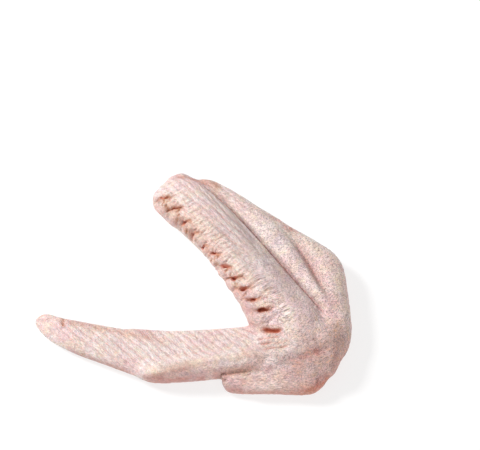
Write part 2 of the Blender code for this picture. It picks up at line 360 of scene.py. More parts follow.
# %% The thumb's tip and its crevice
TIP_TO_HAND = 1.3 * MM
TIP_UP = 1.1 * MM
CREVICE = [(24, 9.4), (29, 9.9), (34, 10.3), (39, 10.9)]
CREVICE_WIDTH = 1.0
CREVICE_FLOOR = 9.2 * MM

points, _ = read(skin)
hand_along, hand_across = HAND.coordinates(points)
thumb_tip = ramp(hand_along, 26, 33) * ramp(hand_across, 9.6, 12.6) * ramp(points[:, 2] / MM, 2, 6)
points[:, :2] -= TIP_TO_HAND * thumb_tip[:, None] * np.array(HAND.leading)
points[:, 2] += TIP_UP * thumb_tip
_, normals = read(skin)
bottom = CREVICE_FLOOR * ramp(stroke(points, HAND, CREVICE, CREVICE_WIDTH, 0.15), 0.1, 0.5)
open_side = (normals[:, 2] > -0.3) & (points[:, 2] < bottom) & (points[:, 2] > 0.3 * MM)
points[open_side, 2] = bottom[open_side]
write(skin, points)
relax(skin, 0.5, 1)
print("crevice: lifted", int(open_side.sum()), "points")

# %% [markdown]
# ## Folds over the muscles
#
# The skin dips sharply between the two forearm muscles, is pinched where the thumb lies against the hand,
# turns sharply over the hand's leading edge and has a soft valley at the wrist. Faint creases run between.
# Each fold is added to one height map, in millimetres, which moves the skin at the end along the normals of
# its calmed form. The real normals would swing about inside a pit.

# %% Folds
points, _ = read(skin)
_, calm_normals = calmed(skin, 60)
upper = ramp(calm_normals[:, 2], -0.2, 0.3)
lift = np.zeros(len(points))


def fold(bone, knots, rise, width, fade=0.25):
    """Raises the upper side along a stroke, or presses it in where rise is negative."""
    lift[:] += rise * upper * stroke(points, bone, knots, width, fade)


def beside(knots, offset):
    return [(a, c + offset) for a, c in knots]


fold(FOREARM, MUSCLE_GROOVE, -1, 0.36, 0.08)
fold(FOREARM, beside(MUSCLE_GROOVE[2:], -1.1), 0.3, 0.5, 0.15)
fold(FOREARM, beside(MUSCLE_GROOVE, 1.3), 0.5, 0.7, 0.15)
fold(FOREARM, WEB_GROOVE, -0.35, 1)
fold(FOREARM, ELBOW_CREASE, -0.6, 0.5)
fold(FOREARM, beside(ELBOW_CREASE, 1.2), 0.25, 0.7)
fold(HAND, HAND_EDGE, 0.15, 0.7, 0.2)
fold(HAND, THUMB_CREASE[1:], -0.3, 0.45)
fold(HAND, [(14, 8), (18, 8.7), (23, 9.3)], 0.5, 1.2, 0.3)
fold(HAND, beside(THUMB_CREASE, 1.9), 0.3, 1.1, 0.1)
fold(HAND, [(33, 12.6), (27, 13.4), (19, 13.8)], -0.3, 0.45)
fold(HAND, [(31, 15.2), (24, 16.2), (15, 16.6)], 0.25, 0.7)
fold(HAND, WRIST_VALLEY, -1.6, 1.9)
fold(HAND, beside(WRIST_VALLEY, -3.6), 0.5, 1.8, 0.4)

FOREARM_CREASES = (
    ([(76, 5.6), (68, 5.4), (58, 4.6), (49, 3.8)], -0.28, 0.45),
    ([(72, 3.4), (62, 2.8), (52, 2), (44, 1.6)], -0.16, 0.5),
    ([(46, 4.6), (38, 4), (30, 3.4)], -0.16, 0.5),
    ([(60, 13.4), (50, 14), (42, 14.4)], -0.15, 0.6),
    ([(40, 16.6), (32, 15.4), (24, 13.2)], -0.18, 0.6),
)
FINGER_CREASES = (
    ([(39, -5), (38.4, -2.4), (37, 0.4)], -0.45, 0.45),
    ([(37, -4.6), (36.2, -2.2), (35, 0)], 0.25, 0.6),
    ([(43, 1.6), (41, 3.2), (38, 4.2)], -0.25, 0.45),
    ([(27, 6.2), (25, 8), (24, 10)], -0.4, 0.5),
    ([(29, 5.2), (22, 5.8), (15, 6)], -0.2, 0.6),
)
for bone, table in ((FOREARM, FOREARM_CREASES), (DIGIT, FINGER_CREASES)):
    for knots, rise, width in table:
        fold(bone, knots, rise, width)
print("folds: from", round(lift.min(), 2), "to", round(lift.max(), 2), "mm")

# %% [markdown]
# ## Feather sockets
#
# A flight feather that is pulled leaves a small hole, deep red inside. Twelve of them lean in a row on the
# forearm's rear edge. The solid has plain slits there, and the same seed gives the same small differences
# here. Each slit is partly filled first, because the hole carved instead lies a little off it and leans
# more. The lists say how much, from the elbow to the wrist, and how open each socket is: the first two are
# nearly shut.

# %% Where the sockets are
SOCKET_PITCH = 6.1
FIRST_SOCKET_ALONG = 81.2
SOCKET_ACROSS = -9.5
SOCKET_LEAN = math.radians(40)
SOCKET_SEED = 7
SLIT_OFFSET = 0.3
SLIT_LENGTH = 4.4
NEAR_ELBOW = 6
OPENNESS = (0.3, 0.5, 0.95, 1.0, 0.95, 0.8, 0.85, 0.85, 0.8, 0.85, 0.8, 0.65)
MOVED_ALONG = (0, -0.6, -0.3, 0, 0, -0.3, -1.2, -0.6, -0.6, 0, 0.7, 0.2)
MOVED_ACROSS = (0, 0.8, 0.3, 0, 0, 0.4, 0.6, 0.3, -0.1, 0, 0.6, 0.8)
EXTRA_LEAN = (5, 20, 30, 30, 30, 28, 28, 8, 0, 0, 3, 14)
LAST_SOCKET = len(OPENNESS) - 1


def turned(u, v, turn):
    """Distances inwards along a socket and sideways from its line."""
    return v * math.cos(turn) - u * math.sin(turn), u * math.cos(turn) + v * math.sin(turn)


def plateau(x, width):
    """1 around x = 0, with a flatter top and steeper sides than a hill."""
    return np.exp(-((x / width) ** 4))


place = np.random.default_rng(SOCKET_SEED)
along, across = FOREARM.coordinates(points)
holes = []
for i, openness in enumerate(OPENNESS):
    last = i == LAST_SOCKET
    shift, drift, lean, size = place.uniform(-1, 1, 4)
    at = FIRST_SOCKET_ALONG - i * SOCKET_PITCH - (1.2 if last else 0.4 * shift)
    off = SOCKET_ACROSS - (3.0 if last else 0.5 * drift)
    turn = SOCKET_LEAN + math.radians(6) * lean
    inward, sideways = turned(along - at, across - off - SLIT_OFFSET, turn)
    filling = plateau(inward, (1 + 0.12 * size) * SLIT_LENGTH / 2) * hill(sideways, 0.8)
    lift += (1.9 - 0.7 * openness) * filling * upper
    at += MOVED_ALONG[i]
    off += MOVED_ACROSS[i] + 0.9 * max(1 - i / NEAR_ELBOW, 0)
    turn += math.radians(EXTRA_LEAN[i])
    holes.append((at, off, turn, shift, size))
print("sockets:", len(holes), "filled up to", round(lift.max(), 2), "mm")

# %% [markdown]
# ## Holes under an eyelid
#
# The skin above a socket overhangs like an eyelid, so the hole is steep on that side and slopes gently on
# the other. A thin slit runs on inwards, and a notch runs out to the edge. The last socket is a long plain
# one. Between two sockets the edge stands up as a knob. The same sums give maps for the colours: the dark
# pit, its brownish rim, the glow around it and the upset skin where a socket is nearly shut.

# %% Holes under an eyelid
REACH = (1.3, 1.2, 1.1, 1.1, 1.2, 1.2, 1.3, 1.3, 1.5, 1.4, 1.5, 3.3)
NOTCH = (0.8, 0.6, 0.4, 0.5, 0.6, 0.5, 0.5, 0.5, 0.5, 0.5, 0.4, 0.3)
SLIT = (0.8, 0.8, 0.4, 0.4, 0.4, 0.5, 0.6, 0.5, 0.5, 0.5, 0.8, 0.3)
LID = (0.42, 0.42, 0.45, 0.45, 0.45, 0.45, 0.45, 0.5, 0.5, 0.5, 0.75, 0.8)
CURVE = 0.10
WAVE = 0.12
EYELID_RISE = 0.34
KNOB_RISE = 0.45


def lopsided(x, steep, gentle):
    """A hill with one width under the eyelid and another on the open side."""
    return np.where(x > 0, hill(x, steep), hill(x, gentle))


pit, rim, glow, upset, knobs = np.zeros((5, len(points)))
for i, (at, off, turn, shift, size) in enumerate(holes):
    last = i == LAST_SOCKET
    openness = OPENNESS[i]
    inward, sideways = turned(along - at, across - off, turn)
    bent = sideways - CURVE * np.maximum(inward, 0)
    if last:
        mouth = plateau(inward - 0.2, REACH[i])
    else:
        bent += WAVE * np.sin(1.7 * inward + 3 * shift)
        reach = REACH[i] + 0.2 * size
        mouth = np.where(inward < 0, plateau(inward, reach), hill(inward, 0.9 * reach))
        mouth *= 1 - 0.35 * ramp(inward, -1, 2)
    wide = (0.5 + 0.6 * openness) * (1 - 0.1 * np.clip(inward, -2, 4))
    hollow = mouth * lopsided(bent, LID[i], wide)
    slit = band(inward, -0.5, 0.8, 0.8, 4.2 + 0.8 * size) * hill(bent, 0.3)
    notch = NOTCH[i] * band(inward, -5.5, -3.0, -1.4, -0.4) * hill(bent + 0.2, 0.45)
    lift -= upper * ((0.7 + 1.1 * openness) * hollow + SLIT[i] * slit + notch)
    lift += EYELID_RISE * upper * hill(bent - 0.95, 0.55) * plateau(inward - 0.3, 2.7)

    core = mouth * lopsided(bent, 0.95 * LID[i], (0.9 if last else 0.55) * wide)
    pit = np.maximum(pit, core * upper * (0.58 if last else 0.4 + 0.6 * openness))
    tail = band(inward, -1, 1, 1.5, 5.2) * hill(bent + 0.1, 0.75)
    rim = np.maximum(rim, upper * np.maximum(0.8 * tail, np.maximum(notch, 0.8 * hollow)))
    near = hill(inward, 3.0) * hill(sideways, 1.5) * upper
    glow = np.maximum(glow, near)
    upset = np.maximum(upset, near * (1 - openness))
    knob = hill(along - at + 2.7, 1.6) * hill(across - off + 2.1, 1.8) * upper
    knobs = np.maximum(knobs, knob)
    lift += KNOB_RISE * knob
print("holes: deepest", round(lift.min(), 2), "mm")

# %% [markdown]
# ## Ribs between the sockets
#
# The loose skin between two sockets gathers into a roll at the edge. It runs inwards as a low rib that
# fades on the muscle, with finer wrinkles beside it and a shorter rib at each socket's inner end. Each one
# draws its own length and heading, because equal ones would look stamped. A seed makes every run draw the
# same.

# %% Ribs
RIB_SEED = 21
random = np.random.default_rng(RIB_SEED)


def rib(bone, start, heading, length, bend, rise, width):
    """A stroke from a start point, in millimetres, that bends a little as it goes."""
    a, c = start
    knots = []
    for t in (0, 0.5, 1):
        way = heading + bend * t
        knots.append((a + length * t * math.cos(way), c + length * t * math.sin(way)))
    fold(bone, knots, rise, width, 0.35)


for at, off, *_ in holes:
    between = at - SOCKET_PITCH / 2
    for k in range(5):
        start = (between + random.uniform(-1.9, 1.9), off + random.uniform(-2.0, 1.5))
        heading = math.radians(random.uniform(100, 116))
        length = random.uniform(3.5, 7.5)
        rib(FOREARM, start, heading, length, random.uniform(-0.3, 0.3), -0.2, random.uniform(0.28, 0.4))
    start = (between + random.uniform(-0.4, 0.4), off - 1.5)
    length = random.uniform(9, 14)
    rib(FOREARM, start, math.radians(random.uniform(102, 112)), length, 0.12, 0.42, 1.0)
    start = (at + 0.9, off + 2.6)
    rib(FOREARM, start, math.radians(random.uniform(100, 112)), random.uniform(4, 7), 0.15, 0.22, 0.7)
print("ribs: from", round(lift.min(), 2), "to", round(lift.max(), 2), "mm")

# %% [markdown]
# ## Wrinkles in the fold of the wrist
#
# Where the forearm meets the hand, the skin is pressed into close wrinkles, raised and sunk by turns, with
# a few short slanting ones beside them. Three long creases lie under the last socket.

# %% Wrinkles at the wrist
PRESSED_WRINKLES = 13
SHORT_WRINKLES = 7
WRINKLE_RISE = 0.38
UNDER_LAST_SOCKET = (
    [(-24, -0.6), (-18, -0.3), (-11, 0.6)],
    [(-23, -2.6), (-16, -2.4), (-9, -1.2)],
    [(-21, -4.8), (-15, -4.2), (-10, -3.4)],
)

for k in range(PRESSED_WRINKLES):
    y = 8.6 - 1.15 * k + random.uniform(-0.3, 0.3)
    x = -24.5 + 0.12 * k + random.uniform(-0.8, 0.8)
    length = random.uniform(7, 15)
    rise = WRINKLE_RISE if k % 2 else -WRINKLE_RISE
    heading = math.radians(random.uniform(-4, 10))
    rib(FOLD, (x, y), heading, length, random.uniform(0.0, 0.25), rise, 0.48)
for k in range(SHORT_WRINKLES):
    x = -29 + 2.1 * k + random.uniform(-0.5, 0.5)
    y = -4.5 - 0.35 * k + random.uniform(-0.5, 0.5)
    rib(FOLD, (x, y), math.radians(random.uniform(-60, -30)), random.uniform(2.5, 5), 0.2, 0.22, 0.7)
for knots in UNDER_LAST_SOCKET:
    fold(FOLD, knots, -0.4, 0.42, 0.3)
print("wrinkles:", PRESSED_WRINKLES + SHORT_WRINKLES)

# %% [markdown]
# ## Creases on the knobs
#
# The knobs beside the first nine sockets are creased all over. Each one gets four short creases with
# different headings. How deep they are is kept, because they are also a little browner.

# %% Creases on the knobs
CREASE_SEED = 5
CREASED_KNOBS = 9
CREASE_DEPTH = 0.42

creases = np.random.default_rng(CREASE_SEED)
before = lift.copy()
for at, off, *_ in holes[:CREASED_KNOBS]:
    for k in range(4):
        start = (at - 2.7 + creases.uniform(-2, 2), off - 0.6 - creases.uniform(0, 3))
        heading = math.radians(creases.uniform(50, 140))
        rib(FOREARM, start, heading, creases.uniform(1.5, 3), creases.uniform(-0.5, 0.5), -CREASE_DEPTH, 0.34)
creased = np.clip((before - lift) / CREASE_DEPTH, 0, 1)
print("creased: over", int((creased > 0.5).sum()), "points")

# %% [markdown]
# ## Noise over the skin
#
# Nothing on skin is quite regular. Smooth noise of four sizes, from 9 mm down to less than 1 mm, bends what
# comes next and lets it come and go.

# %% Noise over the skin
def wander(scale, seed):
    """Smooth noise at every point, about -1 to 1, with features of that size in millimetres."""
    shift = np.array((seed * 17.3, seed * 5.1, seed * 9.7))
    at = points / (scale * MM) + shift
    return np.array([noise.noise(p) for p in at.tolist()])


broad = wander(9, 1)
middling = wander(3.5, 2)
small = wander(1.2, 3)
tiny = wander(0.75, 4)
lift += knobs * (0.3 * middling + 0.25 * small)
print("middling noise: from", round(middling.min(), 2), "to", round(middling.max(), 2))

# %% [markdown]
# ## Rows on the hand
#
# The hand's back shows slanting rows, where the coverts grew: low ridges 2.5 mm apart with finer wrinkles
# between. A cosine of the distance across the rows makes them. They fade towards the wrist, the finger's
# tip and the leading face.

# %% Rows on the hand
ROW_SLANT = -43
ROW_SPACING = 2.5
ROW_RISE = 0.17
FINE_SPACING = 1.2
FINE_RISE = 0.03


def distance_across(slant):
    """How far each point lies across lines with that heading in the plan, in millimetres."""
    slant = math.radians(slant)
    return (points[:, 1] * math.cos(slant) - points[:, 0] * math.sin(slant)) / MM


def waves(distance, spacing, phase):
    return np.cos(2 * math.pi * (distance / spacing + phase))


hand_along, hand_across = HAND.coordinates(points)
finger_along, _ = DIGIT.coordinates(points)
on_hand = ramp(hand_along, 16, 28) * drop(finger_along, 36, 47) * drop(hand_across, 3, 8)
near_back = drop(hand_across, -6, 4)
flat_side = ramp(calm_normals[:, 2], 0.35, 0.75)
across_rows = distance_across(ROW_SLANT)
rows = waves(across_rows, ROW_SPACING, 0.35 * broad + 0.08 * middling)
row_height = ROW_RISE * rows * (0.7 + 0.3 * near_back + 0.5 * middling)
fine_height = FINE_RISE * waves(across_rows, FINE_SPACING, 0.8 * middling)
lift += on_hand * flat_side * (row_height + fine_height)
print("rows: over", int((on_hand > 0.5).sum()), "points")

# %% [markdown]
# ## Wrinkles on the forearm
#
# Inwards of the sockets the skin is gathered into crossways wrinkles, and on the muscle near the elbow it
# is drawn into faint ones along the bone. They are the same cosine, limited to a band along the bone and
# one across it.

# %% Wrinkles on the forearm
GATHER_SLANT = 24
GATHER_SPACING = 1.7
GATHER_RISE = 0.19
DRAWN_SPACING = 1.5
DRAWN_RISE = 0.07

gathered = band(along, 8, 14, 80, 86) * band(across, -9, -7, -4, 2)
crossways = waves(distance_across(GATHER_SLANT), GATHER_SPACING, 0.5 * middling)
lift += GATHER_RISE * gathered * upper * crossways * (0.6 + middling)
drawn = band(along, 40, 55, 76, 82) * band(across, -1, 1, 7, 9)
lift += DRAWN_RISE * drawn * upper * waves(across, DRAWN_SPACING, 0.7 * broad)
print("gathered: over", int((gathered > 0.5).sum()), "points")

# %% [markdown]
# ## Goosebumps
#
# Plucked skin is covered with small bumps, one at each feather's root, about 1.6 mm apart. The cells of a
# Voronoi pattern give such spots on a surface of any slope. They are highest at the wrist and lowest on the
# hand, and there are none in the pits and where the wing rests. Noise gives a fine crinkle between.

# %% Goosebumps
BUMP_SPACING = 1.6


def spots(spacing, width):
    """1 in the middle of each of many scattered spots, falling to 0 between them."""
    at = points / (spacing * MM)
    nearest = np.array([noise.voronoi(p)[0][0] for p in at.tolist()])
    return hill(nearest, width)


bumps = spots(BUMP_SPACING, 0.36)
away_from_pits = 1 - np.clip(2.5 * np.maximum(pit, rim), 0, 1)
to_wrist = hill(np.hypot(points[:, 0] - WRIST.x, points[:, 1] - WRIST.y) / MM, 24)
amount = 0.10 + 0.09 * to_wrist + 0.05 * broad - 0.05 * on_hand
crinkle = 0.06 * middling + 0.06 * small + 0.05 * tiny
off_the_ground = ramp(points[:, 2] / MM, 0.05, 1.0)
lift += away_from_pits * off_the_ground * (amount * bumps + crinkle)
print("goosebumps: over", int((bumps > 0.5).sum()), "points")

# %% [markdown]
# ## The outline, and the skin moved at last
#
# The skin's edge bulges or draws in a little at four places: two at the bend of the wrist, the shelf by the
# elbow and the finger's tip. Only points that face sideways follow. Then the height map moves the skin,
# nothing goes below the surface it rests on, and a weak pass of Smooth takes off sharp teeth.

# %% The skin moved
OUTLINE = (
    (HAND, -4.6, 14.6, 3.4, 1.3),
    (HAND, -2.2, 19.5, 3, -0.7),
    (FOREARM, 81, -12.3, 3.2, -1.5),
    (DIGIT, 46, -3.6, 3.5, 1.2),
)


def blob(bone, at, off, radius):
    """1 at a place along and across a bone, falling to 0 around it."""
    u, v = bone.coordinates(points)
    return hill(np.hypot(u - at, v - off), radius)


at_the_side = drop(np.abs(calm_normals[:, 2]), 0.6, 0.95)
for bone, at, off, radius, rise in OUTLINE:
    lift += rise * at_the_side * blob(bone, at, off, radius)
points += calm_normals * lift[:, None] * MM
points[:, 2] = np.maximum(points[:, 2], 0)
write(skin, points)
relax(skin, 0.25, 1)
points, normals = read(skin)
print("skin reaches", [round(v / MM, 1) for v in points.max(0)], "mm")

# %% [markdown]
# ## Where the colours gather
#
# The colours of raw skin follow its form: blood collects low down and in folds, fat lies along the edges,
# dark muscle shows through, and painted shade darkens hollows, grooves and the sides turned from the key
# lamp. So maps are painted on the skin's points, each the sum of soft lines and round spots, and the
# material reads them. A picture would need unwrapping, and seams. The hollow map is measured: how far a
# point lies below its calmed surroundings. It carries painted shade into the hollows.

# %% Tools for colour maps
calm_points, calm_normals = calmed(skin, 14)
sunk = -((points - calm_points) * calm_normals).sum(1) / MM
height = points[:, 2] / MM
x_mm = points[:, 0] / MM
y_mm = points[:, 1] / MM
along, across = FOREARM.coordinates(points)
hand_along, hand_across = HAND.coordinates(points)
finger_along, _ = DIGIT.coordinates(points)
fold_along, fold_across = FOLD.coordinates(points)

low = drop(height, 4, 9)
lower_half = drop(height, 6, 12)
facing_up = ramp(normals[:, 2], -0.2, 0.4)
on_top = ramp(normals[:, 2], 0.2, 0.8)
leading_face = band(hand_across, 6.4, 7.8, 11, 13) * drop(normals[:, 2], 0.5, 0.9)
broken = np.clip(0.7 + 0.9 * middling + 0.7 * small, 0, 1.3)


def lines(*marks):
    """The sum of strokes, each with a share, a bone, knots, a width and maybe a fade."""
    return sum(share * stroke(points, *mark) for share, *mark in marks)


def blobs(*marks):
    """The sum of round spots, each with a share, a bone, its place there and a radius."""
    return sum(share * blob(*mark) for share, *mark in marks)


def store(name, values):
    """Keeps a map on the skin's points, by name."""
    layer = skin.data.attributes.new(name, "FLOAT", "POINT")
    layer.data.foreach_set("value", np.clip(values, 0, 1).astype(np.float32))
    print("map of", name, "over", int((values > 0.5).sum()), "points")


# The hollow map carries painted shade: the skin is darker and redder in its hollows.
store("hollow", 0.5 + sunk / 0.5)
store("pit", pit)
store("bumps", bumps)
store("rows", 0.5 + 0.5 * rows * on_hand * facing_up)
print("hollows of", round(sunk.min(), 2), "to", round(sunk.max(), 2), "mm")

# %% [markdown]
# ## Blood, and red painted shade
#
# Red shows around the sockets, in the wrist's valley, along the lower edges of hand and finger, on the
# thumb and at the elbow's end. On the hand's leading face and on the lower right side, both turned from the
# key lamp, the red is partly painted shade. Noise breaks some lines up. A line given in plan would run down
# a steep side as a patch, so several are limited by height or to skin that faces up. The heel is the
# granular red edge at the bend of the wrist.

# %% Blood and red painted shade
FINGER_REAR = [(42, -2.4), (30, -3.8), (18, -4.8), (6, -6), (-6, -7)]
VALLEY_STREAK = [(11, 10.4), (6, 8.6), (2, 6.8), (-2.5, 5.2)]
WEB_TOP = [(58, 16.5), (44, 21.6), (32, 24)]
HAND_LOWER_EDGE = [(30, 10.2), (48, 11), (60, 11.2), (74, 9)]
HEEL = [(21, 20.4), (10, 20.8), (3, 19.4), (-1.5, 17), (-4, 13)]

heel = stroke(points, HAND, HEEL, 2.4, 0.15) * drop(height, 7, 12)
# The hand's leading face, turned from the key lamp, is red: partly blood, partly painted shade.
blood_and_shade = 0.55 * glow + 0.25 * leading_face
blood_and_shade += lines(
    (0.35, HAND, [(46, 6.6), (54, 7.2), (62, 7.4)], 1.6),
    (0.3, HAND, THUMB_CREASE[1:], 1, 0.2),
    (0.25, FOREARM, [(86, 4), (82, 8), (76, 9)], 2),
    (0.35, DIGIT, [(44, -4), (30, -6), (12, -8), (0, -9)], 1.6),
    (0.2, DIGIT, FINGER_REAR, 1.5, 0.2),
    (0.2, FOLD, [(9.5, 31), (12, 21), (13, 8)], 1.8),
)
blood_and_shade += low * lines(
    (0.5, HAND, [(40, 14), (31, 16.2), (20, 17.6), (8, 18)], 2.6),
    (0.8, DIGIT, [(34, 7.2), (28, 8.2), (19, 8.4), (10, 8.8), (2, 9.2)], 1.3),
)
blood_and_shade += facing_up * lines((0.5, FOREARM, ELBOW_CREASE, 1.8))
blood_and_shade += broken * (0.4 * heel + lines((0.6, HAND, VALLEY_STREAK, 2)))
blood_and_shade += broken * on_top * lines((0.8, FOREARM, WEB_TOP, 2.4, 0.4))
blood_and_shade += broken * lower_half * lines((1.9, HAND, HAND_LOWER_EDGE, 2.6, 0.6))
blood_and_shade += blobs((0.25, FOREARM, 5.5, 14.5, 3.5), (0.12, FOREARM, 9.7, 23.3, 3))
blood_and_shade += drop(height, 6, 13) * blob(HAND, 3.5, 16.5, 7)
blood_and_shade += 0.8 * drop(height, 7, 12) * blob(DIGIT, -4, 8.4, 4)
blood_and_shade += 0.22 * ramp(hand_across, 9.6, 11.5) * ramp(hand_along, 4, 14)
blood_and_shade += 0.35 * band(across, -20, -16, -12.5, -9.5) * band(along, 14, 20, 82, 88)
# Painted shade: the lower right side, turned from the key lamp, is redder and darker.
blood_and_shade += 0.35 * ramp(x_mm, 46, 54) * lower_half + 0.05 * ramp(x_mm, 40, 50)
blood_and_shade += 0.25 * drop(height, 1, 4) + 0.2 * ramp(along, 82, 90)
store("blood_and_shade", blood_and_shade)
store("heel", heel * facing_up)

# %% [markdown]
# ## Rust
#
# Rust is the brownish rim that blood leaves where it dries: around the slits, on the creased knobs, in the
# creases by the thumb, under the last socket, at the elbow and on the finger's tip and rear edge. The
# finger's lower edge is browner too.

# %% Rust
rust = rim + 0.55 * upset + 0.35 * knobs * ramp(along, 30, 55) + 0.6 * creased
rust += lines(
    (0.5, HAND, beside(THUMB_CREASE[1:], 0.6), 0.9, 0.2),
    (0.6, FOREARM, [(83, 8), (79, 9.6), (74, 10.8), (68, 11.6)], 1.7),
    (0.3, FOREARM, ELBOW_CREASE, 0.7),
    (0.3, DIGIT, FINGER_REAR, 1.5, 0.2),
    (0.7, DIGIT, [(40, -5), (38.4, -2), (36.8, 0.6)], 0.8),
    (0.35, FOLD, [(-30, -6), (-25, -8), (-19, -9.5)], 1.8),
)
rust += lines(*[(0.4, FOLD, knots, 0.6) for knots in UNDER_LAST_SOCKET])
# The finger's lower edge is browner.
rust += low * lines((0.8, DIGIT, [(30, 8.6), (24, 9.4), (15, 9.2), (4, 9.6)], 1.2))
rust += broken * lines((0.3, HAND, [(34, 12.6), (27, 13.6), (18, 13.8), (10, 12.6)], 1.2))
rust += 0.5 * broken * heel + 0.3 * ramp(finger_along, 42, 50)
store("rust", rust)

# %% [markdown]
# ## Fat and pale skin
#
# Fat is yellow. It lies along the web's edge, on the ridge of the hand and between the muscle and the
# sockets. Pale skin, stretched over bone, shows on the hand's rear half and by the first sockets.

# %% Fat and pale skin
fat = lines(
    (0.3, FOREARM, [(2, 19), (12, 23), (24, 24), (38, 21.5), (54, 17), (68, 13)], 3.2, 0.15),
    (0.35, FOREARM, [(72, -2), (58, -5), (40, -6), (24, -6)], 3),
    (0.5, FOREARM, [(84, -8.5), (76, -8.5), (66, -8.5), (50, -8.5)], 3),
    (0.8, HAND, [(40, 4.8), (49, 5.8), (58, 6.6), (67, 6.8)], 1.6, 0.2),
    (0.35, HAND, [(16, 4.4), (28, 4.6), (42, 5)], 1.3),
)
pale = lines(
    (0.5, HAND, [(76, -5.2), (56, -2), (41, -0.2), (34, 0.4)], 3.6),
    (0.5, FOREARM, [(86, -7), (80, -6), (73, -5), (65, -4)], 3.2),
)
store("fat", fat)
store("pale", pale)

# %% [markdown]
# ## Painted shade and dark muscle
#
# This grey brown is partly dark muscle that shows through and partly painted shade: along the top of the
# forearm's muscle where it slopes from the key lamp and in the grooves, around the thumb's root and the
# wrist's valley, on the wrist's low right side and on the hand's leading face. One spot on the forearm has
# less of it.

# %% Painted shade and dark muscle
muscle_and_shade = lines(
    (0.55, FOREARM, [(4, 4), (18, 4), (35, 4.6), (50, 4.8), (64, 5.2), (80, 3)], 3.8),
    (0.6, FOREARM, [(70, -1.5), (57, -1.9), (44, -2.4), (30, -3), (18, -2.5)], 2),
    (0.35, FOREARM, beside(WEB_GROOVE, 0.6), 2),
    (0.5, FOREARM, MUSCLE_GROOVE, 0.5, 0.1),
    (0.9, HAND, [(23, 8.6), (11.6, 8.2), (5, 7.4), (-2, 6.6), (-6, 5)], 2.8),
    (1.1, HAND, [(10, 5), (4, 2.6), (-3, 2), (-10, 2)], 2.3, 0.3),
    (0.6, HAND, [(46, 5.2), (54, 5.8), (64, 6)], 1.6),
    (0.5, DIGIT, [(38, 6.5), (26, 8.6), (14, 9), (4, 9.6)], 1.8),
    (0.5, FOLD, [(10, 3), (7, -3), (8.5, -9)], 2.8),
)
muscle_and_shade += blobs(
    (0.8, HAND, 8.5, 6.8, 3.6),
    (0.6, HAND, 22.5, 8, 3),
    (0.5, HAND, 4, 10, 8),
    (-0.2, FOREARM, 61, 7, 4),
)
# Painted shade on the wrist's low right side and on the hand's leading face, both turned from the key lamp.
muscle_and_shade += 0.4 * ramp(x_mm, 45, 54) * drop(y_mm, -20, -12) * drop(height, 9, 16)
muscle_and_shade += 0.2 * leading_face * band(hand_along, 18, 28, 50, 62) * ramp(height, 2, 6)
store("muscle_and_shade", muscle_and_shade)

# %% [markdown]
# ## Tan and painted shade, and where the skin is speckled
#
# This is a darker brown: the wrist's tan, and painted shade at the muscle groove's upper end, beside the
# web groove, on the thumb's lower side and on the low right side turned from the key lamp. The last maps
# tell the fine pattern where to be strongest, around the wrist, and where to be drawn out into streaks.

# %% Tan and painted shade, and the pattern's maps
tan_and_shade = 0.6 * hill(np.hypot(fold_along, (fold_across + 7) / 1.3), 10.5)
tan_and_shade += lines(
    (0.5, FOREARM, [(76, 8.5), (68.5, 8.9), (62, 9.2)], 2.2, 0.4),
    (0.5, FOREARM, [(80, 9.5), (75, 10.5), (70, 11)], 2.4),
    (0.35, FOREARM, beside(WEB_GROOVE, 0.6), 1.8),
    (0.25, HAND, [(24, 6), (36, 6.4), (49, 7), (62, 7.6)], 1.6, 0.2),
    (0.8, FOLD, [(5, 9), (8.5, 0), (8, -8), (4, -16)], 3.5),
)
tan_and_shade += blobs(
    (1, HAND, 8.7, 11.4, 2.6),
    (0.4, FOREARM, 22, -3.2, 4.5),
    (0.5, FOLD, -20, -4, 3),
)
# Painted shade: the thumb's lower side and the low right side, turned from the key lamp, are browner.
tan_and_shade += 0.35 * low * ramp(hand_across, 8, 13) * drop(hand_along, 40, 48)
tan_and_shade += 0.4 * ramp(x_mm, 50, 58) * drop(height, 5, 12) * drop(fold_across, 8, 18)
store("tan_and_shade", tan_and_shade)

speckled = hill(np.hypot(fold_along, fold_across), 26) + 0.7 * ramp(across, 6, 10) * ramp(along, 4, 20)
on_thumb = ramp(hand_across, 10, 12) * band(hand_along, 4, 14, 40, 46)
pattern_maps = {"gathered": gathered, "drawn": drawn, "on_hand": on_hand}
pattern_maps.update(on_thumb=on_thumb, speckled=speckled)
for name, values in pattern_maps.items():
    store(name, values * facing_up)

# %% [markdown]
# ## Shader maths in plain Python
#
# A small class wraps a socket, so that an expression such as 1 - mask * 0.5 adds the Math nodes by itself.
# Colours go through Mix nodes, because a Math node would turn them grey.

# %% Socket
class Socket:
    def __init__(self, tree, socket):
        self.tree = tree
        self.socket = socket

    def maths(self, operation, a, b, clamp=False):
        made = self.tree.nodes.new("ShaderNodeMath")
        made.operation = operation
        made.use_clamp = clamp
        for slot, value in zip(made.inputs, (a, b)):
            plug(self.tree, slot, value)
        return Socket(self.tree, made.outputs[0])

    def __add__(self, other):
        return self.maths("ADD", self, other)

    def __radd__(self, other):
        return self.maths("ADD", other, self)

    def __sub__(self, other):
        return self.maths("SUBTRACT", self, other)

    def __rsub__(self, other):
        return self.maths("SUBTRACT", other, self)

    def __mul__(self, other):
        return self.maths("MULTIPLY", self, other)

    def __rmul__(self, other):
        return self.maths("MULTIPLY", other, self)

    def clamped(self):
        return self.maths("ADD", self, 0.0, clamp=True)


def plug(tree, slot, value):
    """Links a wrapped socket, or sets a plain number, vector or colour on the slot itself."""
    if isinstance(value, Socket):
        tree.links.new(value.socket, slot)
    elif slot.type == "RGBA":
        slot.default_value = (*value, 1)
    else:
        slot.default_value = value


print("Socket: adds, subtracts and multiplies")

# %% [markdown]
# ## One material at a time
#
# The painter makes one material and keeps the colour painted so far. Any node comes from one method, and
# the others build on it: clouds, streaks, cells, painted maps, and two ways to change the colour, as far as
# a share goes. A layer lays a colour over it. A shade multiplies it, which keeps its pattern.

